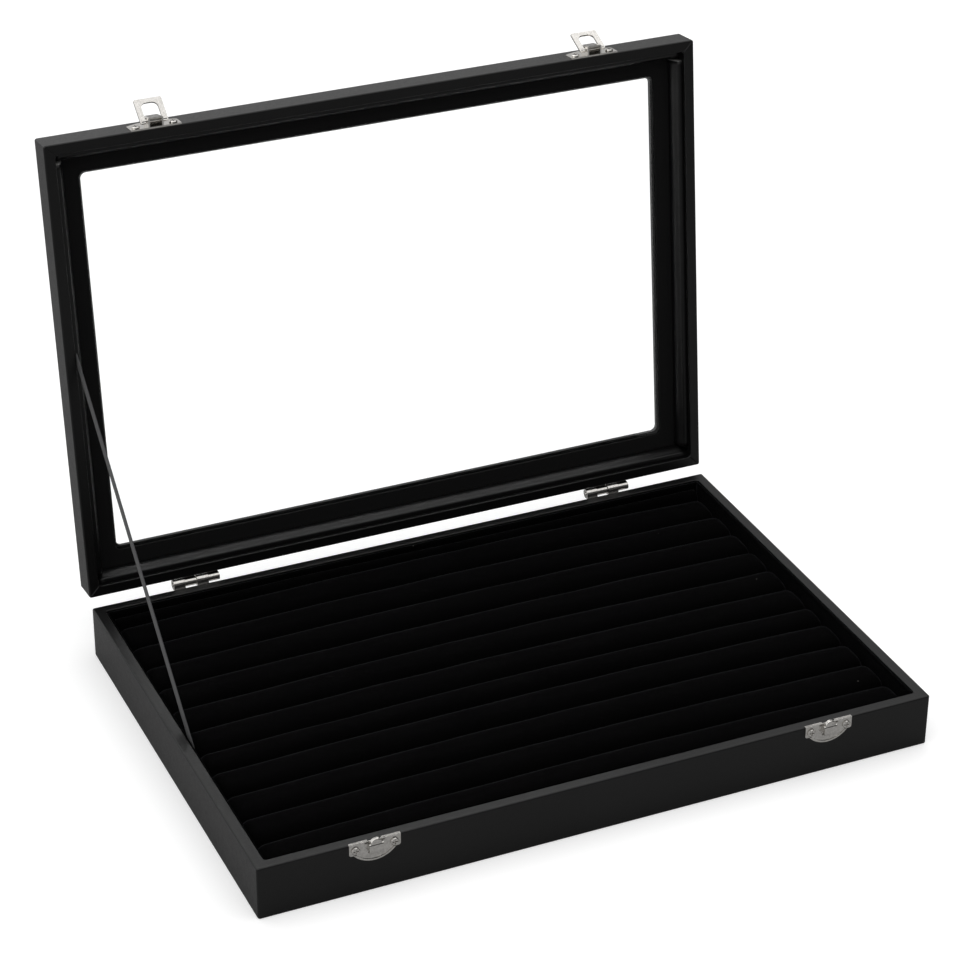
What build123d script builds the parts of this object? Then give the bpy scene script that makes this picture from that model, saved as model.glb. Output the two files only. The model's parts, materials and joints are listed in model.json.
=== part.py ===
from build123d import *
import os
from math import cos, radians, sin, tan

# Ring display box: a shallow tray of padded ring rolls under a glazed lid.
# The lid stands open against its ribbon stay. Sizes are in millimetres. The origin is the centre
# of the underside, X runs along the hinge side, -Y is the front and +Z is up.

os.makedirs("parts", exist_ok=True)

# ---------------------------------------------------------------- outside
box_width = 350.0
box_depth = 240.0
base_height = 28.0
lid_height = 15.6
lid_gap = 0.6                 # between the two rims when the lid is shut
open_angle = 96.7
wall = 5.5                    # covered board, as seen on both rims
edge_round = 0.8              # outer long edges
rim_round = 0.4               # inner edge of a rim
corner_round = 1.2            # upright outer corners
inner_corner = 2.0            # upright corners inside the walls

# ---------------------------------------------------------------- base inside
bottom_board = 3.0
tray_board = 2.0
tray_clear = 0.5
liner = 1.4                   # velvet on card along the walls
liner_drop = 0.8              # below the rim

# ---------------------------------------------------------------- ring rolls
roll_count = 11
roll_top_drop = 2.0           # crown of a roll below the rim
roll_end_drop = 2.8           # the crown falls this much towards the ends
roll_end_round = 5.0          # before it rounds off downwards
roll_round = 2.6
roll_end_clear = 1.6
roll_gap = 0.2
thin_roll = 4                 # the fifth roll from the front is squeezed thinner
thin_roll_width = 16.9
back_strip = 6.5              # filler strip along the hinge side
back_strip_drop = 2.8

# ---------------------------------------------------------------- lid inside
window_margin = 20.0
window_round = 3.0
lid_panel = 2.8               # thickness of the frame round the window
glass = 2.0
glass_clear = 1.0
window_card = 1.0             # velvet card laid over the edge of the glass
card_reveal = 1.2             # the glass shows this far beyond it, round the window
strip_top_drop = 2.6          # retaining strips below the lid's rim
strip_narrow = 2.8            # their width at the rim side
strip_wide = 5.0              # and at the card
strip_end_clear = 0.6         # side strips stop short of the front and back ones

# ---------------------------------------------------------------- hardware, shared
hardware_inset = 57.0         # hinges, catches and hasps from the ends of the box
metal = 0.8
screw_head_radius = 2.1
screw_head_height = 0.9
screw_shank_radius = 0.8
screw_clear = 0.1
screw_depth = 4.0             # into the board
cross_slot = 0.55
cross_depth = 0.5

# ---------------------------------------------------------------- hinges
hinge_width = 25.0
knuckle_count = 4
knuckle_gap = 0.3
barrel_radius = 2.1
strap_radius = 2.6            # base knuckles, rolled from a strap that shows above the rim
pin_radius = 1.0
pin_clear = 0.05
leaf_height = 10.5
leaf_screw_spacing = 15.0

# ---------------------------------------------------------------- catches on the base
catch_width = 25.4
catch_arc = 13.5
catch_bottom_drop = 10.8      # lowest point of the plate under the rim
catch_ear_drop = 5.8          # lower corners of the straight part under the rim
ear_round = 1.2
catch_plate = 0.6
catch_flange = 0.4            # folded over the rim
catch_flange_reach = 1.0
catch_notch = 3.4             # half width of the notch between the two halves of the flange
catch_screw_spacing = 19.2
catch_screw_drop = 3.1
boss_radius = 3.25
boss_half_top = 5.0
boss_height = 0.5
boss_drop = 5.4
hook_half_width = 3.5
guide_half_width = 2.9        # enters the hasp's lug
guide_rise = 2.1              # top of the guide above the rim
guide_depth = 2.0
guide_clear = 0.15            # behind the guide, to the hasp's plate
bead = 0.3

# ---------------------------------------------------------------- hasps on the lid
hasp_width = 26.0
hasp_side = 7.4               # height of the plate at its ends
hasp_middle = 10.9            # and at its middle
hasp_edge_clear = 0.1         # plate and lug start this much above the lid's rim
hasp_screw_spacing = 19.2
hasp_screw_rise = 3.1
lug_width = 7.8
lug_reach = 5.6               # at the rim
lug_far_reach = 4.6           # and at its closed end
lug_height = 7.9
pivot_reach = 3.2             # pivot in front of the lid's face
pivot_rise = 3.1              # pivot above the lid's rim
pivot_radius = 0.9
pivot_clear = 0.08
loop_leans = [44.0, 29.0]     # how far the left and right loops stand up from lying back
loop_width = 14.2
loop_leg = 2.8
loop_metal = 1.0
loop_inside = 9.9             # pivot to the near side of the far bar
loop_bar = 2.4
lip_lean = 50.0               # thumb lip, bent away from the box
lip_rise = 2.8
lip_end = 0.7                 # height of the lip at both ends
lip_metal = 0.8

# ---------------------------------------------------------------- ribbon stay
ribbon_width = 6.0
ribbon_thick = 0.5
ribbon_back = 132.0           # where it leaves both rims, in front of the hinge axis
ribbon_tuck_base = 8.0
ribbon_tuck_lid = 2.6
ribbon_clear = 0.05

# ---------------------------------------------------------------- places
front_y = -box_depth / 2
back_y = box_depth / 2
lid_rim = base_height + lid_gap
lid_top = lid_rim + lid_height
hinge_y = back_y + metal + barrel_radius
hinge_z = base_height + 1.2
sides = ["front", "right", "back", "left"]
corner_signs = [(-1, -1), (1, -1), (1, 1), (-1, 1)]
hardware_reach = box_width / 2 - hardware_inset
ends = [("left", -hardware_reach), ("right", hardware_reach)]
lid_along = Vector(0, cos(radians(open_angle)), -sin(radians(open_angle)))
lid_up = Vector(0, sin(radians(open_angle)), cos(radians(open_angle)))


def opened(x, y, z):
    """Where a point of the shut lid is once the lid stands open."""
    return Vector(x, hinge_y, hinge_z) + lid_along * (y - hinge_y) + lid_up * (z - hinge_z)


# Work planes. The lid's planes carry the measures of the shut box, so every piece of the lid is
# drawn where it lies when the box is closed.
def base_front(x):
    return Plane(origin=(x, front_y, 0), x_dir=(1, 0, 0), z_dir=(0, -1, 0))


def base_back(x):
    return Plane(origin=(x, back_y, 0), x_dir=(-1, 0, 0), z_dir=(0, 1, 0))


def base_section(x):
    return Plane(origin=(x, 0, 0), x_dir=(0, 1, 0), z_dir=(1, 0, 0))


def lid_level(height):
    return Plane(origin=opened(0, 0, height), x_dir=(1, 0, 0), z_dir=lid_up)


def lid_front(x):
    return Plane(origin=opened(x, front_y, 0), x_dir=(1, 0, 0), z_dir=lid_along * -1)


def lid_back(x):
    return Plane(origin=opened(x, back_y, 0), x_dir=(-1, 0, 0), z_dir=lid_along)


def lid_section(x):
    return Plane(origin=opened(x, 0, 0), x_dir=lid_along, z_dir=(1, 0, 0))


# ---------------------------------------------------------------- mitred frames
def inset(margin, corner):
    """Rounded rectangle this far inside the outline of the box."""
    with BuildSketch() as plan:
        RectangleRounded(box_width - 2 * margin, box_depth - 2 * margin, corner)
    return plan.sketch


def mitre(side, reach=40.0):
    """Plan of the quarter of a frame that belongs to one side, cut at 45 degrees."""
    (ax, ay) = corner_signs[side]
    (bx, by) = corner_signs[(side + 1) % 4]
    with BuildSketch() as plan:
        with BuildLine():
            Polyline(
                (ax * box_width / 2, ay * box_depth / 2),
                (bx * box_width / 2, by * box_depth / 2),
                (bx * (box_width / 2 - reach), by * (box_depth / 2 - reach)),
                (ax * (box_width / 2 - reach), ay * (box_depth / 2 - reach)),
                close=True,
            )
        make_face()
    return plan.sketch


def loop_edges(part, axis, last=True, outer=True):
    """The outer or inner outline of the first or last face along an axis."""
    face = part.faces().sort_by(axis)[-1 if last else 0]
    if outer:
        return face.outer_wire().edges()
    return face.inner_wires()[0].edges()


up = Axis.Z
lid_axis = Axis(opened(0, 0, 0), lid_up)

for side, name in enumerate(sides):
    # wall of the base
    with BuildPart() as base_wall:
        with BuildSketch(Plane.XY):
            add(inset(0, corner_round))
            add(inset(wall, inner_corner), mode=Mode.SUBTRACT)
        extrude(amount=base_height)
        fillet(loop_edges(base_wall, up, last=True, outer=True), edge_round)
        fillet(loop_edges(base_wall, up, last=False, outer=True), edge_round)
        fillet(loop_edges(base_wall, up, last=True, outer=False), rim_round)
        with BuildSketch(Plane.XY):
            add(mitre(side))
        extrude(amount=base_height, mode=Mode.INTERSECT)
        if name == "front":
            for end, x in ends:
                with BuildSketch(base_front(x)):
                    with GridLocations(catch_screw_spacing, 0, 2, 1):
                        with Locations((0, base_height - catch_screw_drop)):
                            Circle(screw_shank_radius)
                extrude(amount=-screw_depth, mode=Mode.SUBTRACT)
        if name == "back":
            for end, x in ends:
                with BuildSketch(base_back(x)):
                    with GridLocations(leaf_screw_spacing, 0, 2, 1):
                        with Locations((0, hinge_z - barrel_radius - leaf_height / 2)):
                            Circle(screw_shank_radius)
                extrude(amount=-screw_depth, mode=Mode.SUBTRACT)
    base_wall.part.label = f"base_{name}_wall"
    export_step(base_wall.part, f"parts/base_{name}_wall.step")

    # velvet liner inside that wall
    with BuildPart() as base_liner:
        with BuildSketch(Plane.XY.offset(bottom_board)):
            add(inset(wall, inner_corner))
            add(inset(wall + liner, inner_corner - liner / 2), mode=Mode.SUBTRACT)
        extrude(amount=base_height - liner_drop - bottom_board)
        fillet(loop_edges(base_liner, up, last=True, outer=False), liner / 2)
        with BuildSketch(Plane.XY.offset(bottom_board)):
            add(mitre(side))
        extrude(amount=base_height, mode=Mode.INTERSECT)
    base_liner.part.label = f"base_{name}_liner"
    export_step(base_liner.part, f"parts/base_{name}_liner.step")

    # rail of the lid: a wall with the frame round the window in one moulding
    with BuildPart() as lid_rail:
        with BuildSketch(lid_level(lid_rim)):
            add(inset(0, corner_round))
            add(inset(wall, inner_corner), mode=Mode.SUBTRACT)
        extrude(amount=lid_height)
        with BuildSketch(lid_level(lid_top - lid_panel)):
            add(inset(0, corner_round))
            add(inset(window_margin, window_round), mode=Mode.SUBTRACT)
        extrude(amount=lid_panel)
        fillet(loop_edges(lid_rail, lid_axis, last=True, outer=True), edge_round)
        fillet(loop_edges(lid_rail, lid_axis, last=True, outer=False), edge_round)
        fillet(loop_edges(lid_rail, lid_axis, last=False, outer=True), edge_round)
        fillet(loop_edges(lid_rail, lid_axis, last=False, outer=False), rim_round)
        with BuildSketch(lid_level(lid_rim)):
            add(mitre(side))
        extrude(amount=lid_height, mode=Mode.INTERSECT)
        if name == "front":
            for end, x in ends:
                with BuildSketch(lid_front(x)):
                    with GridLocations(hasp_screw_spacing, 0, 2, 1):
                        with Locations((0, lid_rim + hasp_screw_rise)):
                            Circle(screw_shank_radius)
                extrude(amount=-screw_depth, mode=Mode.SUBTRACT)
        if name == "back":
            for end, x in ends:
                with BuildSketch(lid_back(x)):
                    with GridLocations(leaf_screw_spacing, 0, 2, 1):
                        with Locations((0, hinge_z + barrel_radius + leaf_height / 2)):
                            Circle(screw_shank_radius)
                extrude(amount=-screw_depth, mode=Mode.SUBTRACT)
    lid_rail.part.label = f"lid_{name}_rail"
    export_step(lid_rail.part, f"parts/lid_{name}_rail.step")

    # strip that holds the glass in that rail, wider towards the glass; the side strips are cut
    # square between the front and back ones
    (ax, ay) = corner_signs[side]
    long_side = side % 2 == 0
    clear = 0 if long_side else strip_wide + strip_end_clear
    length = (box_width if long_side else box_depth) - 2 * wall - 2 * clear
    inward = [lid_along, Vector(-1, 0, 0), lid_along * -1, Vector(1, 0, 0)][side]
    run = inward.cross(lid_up)
    corner = opened(ax * (box_width / 2 - wall), ay * (box_depth / 2 - wall), 0)
    strip_top = lid_rim + strip_top_drop
    strip_foot = lid_top - lid_panel - glass - window_card
    with BuildPart() as lid_strip:
        with BuildSketch(Plane(origin=corner + run * clear, x_dir=inward, z_dir=run)):
            with BuildLine():
                Polyline(
                    (0, strip_top),
                    (strip_narrow, strip_top),
                    (strip_wide, strip_foot),
                    (0, strip_foot),
                    close=True,
                )
            make_face()
        extrude(amount=length)
        nose = lid_strip.faces().sort_by(lid_axis)[0].edges().filter_by(Axis((0, 0, 0), run))
        fillet(nose.sort_by(Axis(corner, inward))[-1], strip_narrow / 3)
        with BuildSketch(lid_level(lid_rim)):
            add(inset(wall, inner_corner))
        extrude(amount=lid_height, mode=Mode.INTERSECT)
    lid_strip.part.label = f"lid_{name}_strip"
    export_step(lid_strip.part, f"parts/lid_{name}_strip.step")

# ---------------------------------------------------------------- flat boards
with BuildPart() as base_bottom_board:
    with BuildSketch(Plane.XY):
        add(inset(wall, inner_corner))
    extrude(amount=bottom_board)
base_bottom_board.part.label = "base_bottom_board"
export_step(base_bottom_board.part, "parts/base_bottom_board.step")

with BuildPart() as roll_tray_board:
    with BuildSketch(Plane.XY.offset(bottom_board)):
        add(inset(wall + liner + tray_clear, inner_corner))
    extrude(amount=tray_board)
roll_tray_board.part.label = "roll_tray_board"
export_step(roll_tray_board.part, "parts/roll_tray_board.step")

with BuildPart() as glass_pane:
    with BuildSketch(lid_level(lid_top - lid_panel - glass)):
        add(inset(wall + glass_clear, inner_corner))
    extrude(amount=glass)
    chamfer(glass_pane.faces().sort_by(lid_axis)[-1].edges(), 0.3)
glass_pane.part.label = "glass_pane"
export_step(glass_pane.part, "parts/glass_pane.step")

with BuildPart() as window_frame_card:
    with BuildSketch(lid_level(lid_top - lid_panel - glass - window_card)):
        add(inset(wall + glass_clear, inner_corner))
        add(inset(window_margin - card_reveal, window_round), mode=Mode.SUBTRACT)
    extrude(amount=window_card)
    fillet(loop_edges(window_frame_card, lid_axis, last=False, outer=False), window_card / 2)
window_frame_card.part.label = "window_frame_card"
export_step(window_frame_card.part, "parts/window_frame_card.step")

# ---------------------------------------------------------------- ring rolls
roll_floor = bottom_board + tray_board
roll_half = box_width / 2 - wall - liner - roll_end_clear
roll_crown = base_height - roll_top_drop
rolls_front = front_y + wall + liner
rolls_back = back_y - wall - liner - back_strip
roll_pitch = (rolls_back - rolls_front - thin_roll_width) / (roll_count - 1)


def roll_side_view():
    """A roll seen from the front: level bottom, upright ends and a gently arched top."""
    shoulder = roll_crown - roll_end_drop
    with BuildSketch() as view:
        with BuildLine():
            ThreePointArc((-roll_half, shoulder), (0, roll_crown), (roll_half, shoulder))
            Polyline((-roll_half, shoulder), (-roll_half, roll_floor), (roll_half, roll_floor), (roll_half, shoulder))
        make_face()
        fillet(view.vertices().group_by(Axis.Y)[-1], roll_end_round)
    return view.sketch


def bulge(width, height, top):
    """Cross-section of a padded bar: drawn-in foot, full sides and a softly rounded top."""
    with BuildSketch() as section:
        with BuildLine():
            Polyline((-width / 2 + 0.6, 0), (width / 2 - 0.6, 0))
            Line((width / 2 - 0.6, 0), (width / 2, 1.6))
            Line((width / 2, 1.6), (width / 2, height - top))
            ThreePointArc((width / 2, height - top), (0, height), (-width / 2, height - top))
            Line((-width / 2, height - top), (-width / 2, 1.6))
            Line((-width / 2, 1.6), (-width / 2 + 0.6, 0))
        make_face()
    return section.sketch


edge = rolls_front
for number in range(roll_count):
    pitch = thin_roll_width if number == thin_roll else roll_pitch
    with BuildPart() as ring_roll:
        with BuildSketch(Plane(origin=(0, edge + roll_gap / 2, 0), x_dir=(1, 0, 0), z_dir=(0, -1, 0))):
            add(roll_side_view())
        extrude(amount=-(pitch - roll_gap))
        fillet(ring_roll.edges().filter_by(GeomType.CIRCLE), roll_round)
        chamfer(ring_roll.faces().sort_by(up)[0].edges().filter_by(Axis.X), 0.6)
    name = f"ring_roll_{number + 1:02d}"
    ring_roll.part.label = name
    export_step(ring_roll.part, f"parts/{name}.step")
    edge += pitch

with BuildPart() as roll_back_strip:
    with BuildSketch(base_section(-roll_half)):
        with Locations((rolls_back + back_strip / 2, roll_floor)):
            add(bulge(back_strip - 2 * roll_gap, base_height - back_strip_drop - roll_floor, 1.6))
    extrude(amount=2 * roll_half)
roll_back_strip.part.label = "roll_back_strip"
export_step(roll_back_strip.part, "parts/roll_back_strip.step")

# ---------------------------------------------------------------- ribbon stay
# The ribbon runs straight from the base's left liner to the lid's left rail, in line with both.
ribbon_base_x = -box_width / 2 + wall + liner + ribbon_thick / 2 + ribbon_clear
ribbon_lid_x = -box_width / 2 + wall + ribbon_thick / 2 + 0.3
base_exit = Vector(ribbon_base_x, hinge_y - ribbon_back, base_height)
lid_exit = opened(ribbon_lid_x, hinge_y - ribbon_back, lid_rim)
ribbon_run = lid_exit - base_exit
ribbon_cut = tan(radians(90 - (180 - open_angle) / 2)) * ribbon_width / 2
with BuildPart() as ribbon_stay:
    with BuildSketch(
        Plane(origin=base_exit, x_dir=ribbon_run, z_dir=Vector(1, 0, 0).cross(ribbon_run).cross(ribbon_run) * -1)
    ):
        with BuildLine():
            Polyline(
                (-ribbon_tuck_base - ribbon_cut, ribbon_width / 2),
                (-ribbon_tuck_base + ribbon_cut, -ribbon_width / 2),
                (ribbon_run.length + ribbon_tuck_lid - ribbon_cut, -ribbon_width / 2),
                (ribbon_run.length + ribbon_tuck_lid + ribbon_cut, ribbon_width / 2),
                close=True,
            )
        make_face()
    extrude(amount=ribbon_thick / 2, both=True)
ribbon_stay.part.label = "ribbon_stay"
export_step(ribbon_stay.part, "parts/ribbon_stay.step")


# ---------------------------------------------------------------- cross-head screws
def screw_group(planes, spacing, rise, seat):
    """Pairs of domed screws, one pair on each plane, with their heads on a plate of this thickness."""
    along = Axis(planes[0].origin, planes[0].z_dir)
    with BuildPart() as group:
        for plane in planes:
            with BuildSketch(plane.offset(seat)):
                with GridLocations(spacing, 0, 2, 1):
                    with Locations((0, rise)):
                        Circle(screw_head_radius)
            extrude(amount=screw_head_height)
        chamfer(group.faces().sort_by(along)[-2 * len(planes):].edges(), screw_head_height * 0.4)
        for plane in planes:
            with BuildSketch(plane.offset(seat + screw_head_height)):
                with GridLocations(spacing, 0, 2, 1):
                    with Locations((0, rise)):
                        Rectangle(screw_head_radius * 1.3, cross_slot)
                        Rectangle(cross_slot, screw_head_radius * 1.3)
            extrude(amount=-cross_depth, mode=Mode.SUBTRACT)
            with BuildSketch(plane.offset(seat)):
                with GridLocations(spacing, 0, 2, 1):
                    with Locations((0, rise)):
                        Circle(screw_shank_radius)
            extrude(amount=-seat - screw_depth)
    return group.part


# ---------------------------------------------------------------- hinges
knuckle = (hinge_width - (knuckle_count - 1) * knuckle_gap) / knuckle_count
leaf_rise_base = hinge_z - barrel_radius - leaf_height / 2
leaf_rise_lid = hinge_z + barrel_radius + leaf_height / 2


def hinge_leaf(back, section, rise, sign, first, bore, outside):
    """One leaf: a plate on the back of the box and the knuckles it is rolled into.

    `sign` is -1 for the base's leaf, which hangs below the axis, and 1 for the lid's."""
    top = hinge_z + sign * (barrel_radius + 0.2)
    foot = back_y + metal
    with BuildPart() as leaf:
        with BuildSketch(back):
            with Locations((0, rise + sign * 0.1)):
                RectangleRounded(hinge_width, leaf_height - 0.2, 1.2)
            with GridLocations(leaf_screw_spacing, 0, 2, 1):
                with Locations((0, rise)):
                    Circle(screw_shank_radius + screw_clear, mode=Mode.SUBTRACT)
        extrude(amount=metal)
        for number in range(first, knuckle_count, 2):
            start = -hinge_width / 2 + number * (knuckle + knuckle_gap)
            with BuildSketch(section.offset(start)):
                with BuildLine():
                    Polyline(
                        (back_y, top + sign * 1.2),
                        (back_y, hinge_z + sign * 1.5),
                        (hinge_y - outside, hinge_z + sign * 1.0),
                        (hinge_y - outside, hinge_z),
                        (hinge_y, hinge_z),
                        (hinge_y, hinge_z + sign * barrel_radius),
                        (foot + 0.4, top),
                        (foot, top + sign * 1.2),
                        close=True,
                    )
                make_face()
                with Locations((hinge_y, hinge_z)):
                    Circle(outside)
                    Circle(bore, mode=Mode.SUBTRACT)
            extrude(amount=knuckle)
    return leaf.part


for end, x in ends:
    base_leaf = hinge_leaf(base_back(x), base_section(x), leaf_rise_base, -1, 0, pin_radius, strap_radius)
    base_leaf.label = f"hinge_base_leaf_{end}"
    export_step(base_leaf, f"parts/hinge_base_leaf_{end}.step")

    lid_bore = pin_radius + pin_clear
    lid_leaf = hinge_leaf(lid_back(x), lid_section(x), leaf_rise_lid, 1, 1, lid_bore, barrel_radius)
    lid_leaf.label = f"hinge_lid_leaf_{end}"
    export_step(lid_leaf, f"parts/hinge_lid_leaf_{end}.step")

    with BuildPart() as hinge_pin:
        with BuildSketch(base_section(x - hinge_width / 2 - 0.4)):
            with Locations((hinge_y, hinge_z)):
                Circle(pin_radius)
        extrude(amount=hinge_width + 0.8)
        chamfer(hinge_pin.edges().filter_by(GeomType.CIRCLE), 0.25)
    hinge_pin.part.label = f"hinge_pin_{end}"
    export_step(hinge_pin.part, f"parts/hinge_pin_{end}.step")

# ---------------------------------------------------------------- catches
catch_centre = base_height - catch_bottom_drop + catch_arc
for end, x in ends:
    with BuildPart() as catch:
        # plate with a round lower edge and two ears
        with BuildSketch(base_front(x)):
            with Locations((0, catch_centre)):
                Circle(catch_arc)
            with Locations((0, base_height - catch_ear_drop)):
                RectangleRounded(catch_width, 14, ear_round, align=(Align.CENTER, Align.MIN))
            with Locations((0, base_height + catch_flange)):
                Rectangle(catch_width, 20, align=(Align.CENTER, Align.MAX), mode=Mode.INTERSECT)
        extrude(amount=catch_plate)
        # flange over the rim, in two halves
        with BuildSketch(base_front(x)):
            with Locations((0, base_height)):
                Rectangle(catch_width, catch_flange, align=(Align.CENTER, Align.MIN))
                Rectangle(2 * catch_notch, 2, mode=Mode.SUBTRACT)
        extrude(amount=-catch_flange_reach)
        # raised bead inside the round edge
        with BuildSketch(base_front(x).offset(catch_plate)):
            with Locations((0, catch_centre)):
                Circle(catch_arc - 0.3)
                Circle(catch_arc - 1.1, mode=Mode.SUBTRACT)
            with Locations((0, base_height - catch_ear_drop)):
                Rectangle(catch_width, 20, align=(Align.CENTER, Align.MAX), mode=Mode.INTERSECT)
        extrude(amount=bead)
        # pressed boss that tapers downwards
        with BuildSketch(base_front(x).offset(catch_plate)):
            with Locations((0, base_height - boss_drop)):
                Circle(boss_radius)
            with Locations((0, base_height - 0.7)):
                Rectangle(2 * boss_half_top, 0.6)
            make_hull()
        extrude(amount=boss_height)
        # guide that stands above the rim, rounded at its top
        with BuildSketch(base_front(x).offset(catch_plate)):
            with Locations((0, base_height + guide_rise - guide_half_width)):
                Circle(guide_half_width)
                Rectangle(2 * guide_half_width, 3.0, align=(Align.CENTER, Align.MAX))
        extrude(amount=guide_depth)
        fillet(catch.faces().sort_by(Axis.Y)[0].edges(), 0.5)
        # above the rim it stands off, so that the hasp's plate passes behind it
        with BuildSketch(base_front(x)):
            with Locations((0, base_height + catch_flange)):
                Rectangle(catch_width, 2 * guide_rise, align=(Align.CENTER, Align.MIN))
        extrude(amount=metal + guide_clear, mode=Mode.SUBTRACT)
        # hook below it: a rolled lip with its tip hanging over a slot
        with BuildSketch(Plane(origin=(x - hook_half_width, front_y, base_height), x_dir=(0, 1, 0), z_dir=(1, 0, 0))):
            with BuildLine():
                Spline((-2.2, -0.5), (-3.0, -2.2), (-3.2, -4.0), (-2.9, -5.5), tangents=[(-1, -0.4), (0.4, -1)])
                Polyline((-2.9, -5.5), (-2.4, -5.2), (-1.9, -4.3), (-0.5, -4.3), (-0.5, -0.5), (-2.2, -0.5))
            make_face()
        extrude(amount=2 * hook_half_width)
        # screw holes and the slot under the hook
        with BuildSketch(base_front(x)):
            with GridLocations(catch_screw_spacing, 0, 2, 1):
                with Locations((0, base_height - catch_screw_drop)):
                    Circle(screw_shank_radius + screw_clear)
        extrude(amount=2 * catch_plate, mode=Mode.SUBTRACT)
        with BuildSketch(base_front(x).offset(catch_plate + boss_height)):
            with Locations((0, base_height - boss_drop + 0.1)):
                Rectangle(2 * hook_half_width, 1.2)
        extrude(amount=-boss_height - 0.2, mode=Mode.SUBTRACT)
    catch.part.label = f"catch_plate_{end}"
    export_step(catch.part, f"parts/catch_plate_{end}.step")

# ---------------------------------------------------------------- hasps and their loops
hasp_foot = lid_rim + hasp_edge_clear
pivot_y = front_y - pivot_reach
pivot_z = lid_rim + pivot_rise
hasp_arc = ((hasp_width / 2) ** 2 + (hasp_middle - hasp_side) ** 2) / (2 * (hasp_middle - hasp_side))


def loop_plane(x, lean):
    """Plane of a loop lying back: X along its pivot, Y from the pivot to the far bar."""
    away = lid_up * cos(radians(lean)) - lid_along * sin(radians(lean))
    return Plane(origin=opened(x, pivot_y, pivot_z), x_dir=(1, 0, 0), z_dir=Vector(1, 0, 0).cross(away))


lip_half = loop_width / 2 - 0.4


def lip_plane(loop):
    """Plane of the thumb lip, along the end of the far bar and bent away from the box."""
    start = loop.origin + loop.y_dir * (loop_inside + loop_bar - 0.7) + loop.z_dir * (lip_metal / 2)
    rise = loop.y_dir * cos(radians(lip_lean)) - loop.z_dir * sin(radians(lip_lean))
    return Plane(origin=start, x_dir=(1, 0, 0), z_dir=Vector(1, 0, 0).cross(rise))


for (end, x), lean in zip(ends, loop_leans):
    flat = loop_plane(x, lean)
    with BuildPart() as hasp:
        # plate, taller in the middle
        with BuildSketch(lid_front(x)):
            with Locations((0, lid_rim + hasp_middle - hasp_arc)):
                Circle(hasp_arc)
            with Locations((0, hasp_foot)):
                Rectangle(hasp_width, 20, align=(Align.CENTER, Align.MIN), mode=Mode.INTERSECT)
        extrude(amount=metal)
        # box lug, open towards the rim, its roof falling towards the closed end
        roof_drop = (lug_reach - lug_far_reach) / lug_height
        with BuildSketch(lid_section(x - lug_width / 2)):
            with BuildLine():
                Polyline(
                    (front_y, hasp_foot),
                    (front_y - lug_reach, hasp_foot),
                    (front_y - lug_far_reach, hasp_foot + lug_height),
                    (front_y, hasp_foot + lug_height),
                    close=True,
                )
            make_face()
        extrude(amount=lug_width)
        lug_front = hasp.faces().sort_by(Axis(opened(0, front_y, 0), lid_along))[0]
        fillet(lug_front.edges().filter_by(Axis.X, reverse=True), 0.9)
        with BuildSketch(lid_section(x - lug_width / 2 + metal)):
            with BuildLine():
                Polyline(
                    (front_y - metal, hasp_foot),
                    (front_y - lug_reach + metal, hasp_foot),
                    (front_y - lug_far_reach + metal - roof_drop * metal, hasp_foot + lug_height - metal),
                    (front_y - metal, hasp_foot + lug_height - metal),
                    close=True,
                )
            make_face()
        extrude(amount=lug_width - 2 * metal, mode=Mode.SUBTRACT)
        # pivot bores through the two cheeks
        with BuildSketch(lid_section(x - lug_width)):
            with Locations((pivot_y, pivot_z)):
                Circle(pivot_radius + pivot_clear)
        extrude(amount=2 * lug_width, mode=Mode.SUBTRACT)
        with BuildSketch(lid_front(x)):
            with GridLocations(hasp_screw_spacing, 0, 2, 1):
                with Locations((0, lid_rim + hasp_screw_rise)):
                    Circle(screw_shank_radius + screw_clear)
        extrude(amount=metal, mode=Mode.SUBTRACT)
    hasp.part.label = f"hasp_plate_{end}"
    export_step(hasp.part, f"parts/hasp_plate_{end}.step")

    with BuildPart() as hasp_loop:
        # flat ring with an arched inside
        with BuildSketch(flat.offset(-loop_metal / 2)):
            with Locations((0, -pivot_radius - 0.3)):
                RectangleRounded(
                    loop_width,
                    pivot_radius + 0.3 + loop_inside + loop_bar,
                    0.8,
                    align=(Align.CENTER, Align.MIN),
                )
            opening = loop_width - 2 * loop_leg
            with Locations((0, loop_inside)):
                RectangleRounded(
                    opening, 2 * loop_inside, opening / 3, align=(Align.CENTER, Align.MAX), mode=Mode.SUBTRACT
                )
        extrude(amount=loop_metal)
        # pivot bar from leg to leg
        with BuildSketch(lid_section(x - loop_width / 2 + 0.6)):
            with Locations((pivot_y, pivot_z)):
                Circle(pivot_radius)
        extrude(amount=loop_width - 1.2)
        # thumb lip along the far bar, highest in its middle
        with BuildSketch(lip_plane(flat)):
            with BuildLine():
                ThreePointArc((-lip_half, lip_end), (0, lip_rise), (lip_half, lip_end))
                Polyline((-lip_half, lip_end), (-lip_half, 0), (lip_half, 0), (lip_half, lip_end))
            make_face()
        extrude(amount=-lip_metal)
    hasp_loop.part.label = f"hasp_loop_{end}"
    export_step(hasp_loop.part, f"parts/hasp_loop_{end}.step")

# ---------------------------------------------------------------- screws
catch_screws = screw_group(
    [base_front(x) for end, x in ends], catch_screw_spacing, base_height - catch_screw_drop, catch_plate
)
catch_screws.label = "catch_screws"
export_step(catch_screws, "parts/catch_screws.step")

hasp_screws = screw_group(
    [lid_front(x) for end, x in ends], hasp_screw_spacing, lid_rim + hasp_screw_rise, metal
)
hasp_screws.label = "hasp_screws"
export_step(hasp_screws, "parts/hasp_screws.step")

hinge_base_screws = screw_group(
    [base_back(x) for end, x in ends], leaf_screw_spacing, leaf_rise_base, metal
)
hinge_base_screws.label = "hinge_base_screws"
export_step(hinge_base_screws, "parts/hinge_base_screws.step")

hinge_lid_screws = screw_group(
    [lid_back(x) for end, x in ends], leaf_screw_spacing, leaf_rise_lid, metal
)
hinge_lid_screws.label = "hinge_lid_screws"
export_step(hinge_lid_screws, "parts/hinge_lid_screws.step")
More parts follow.
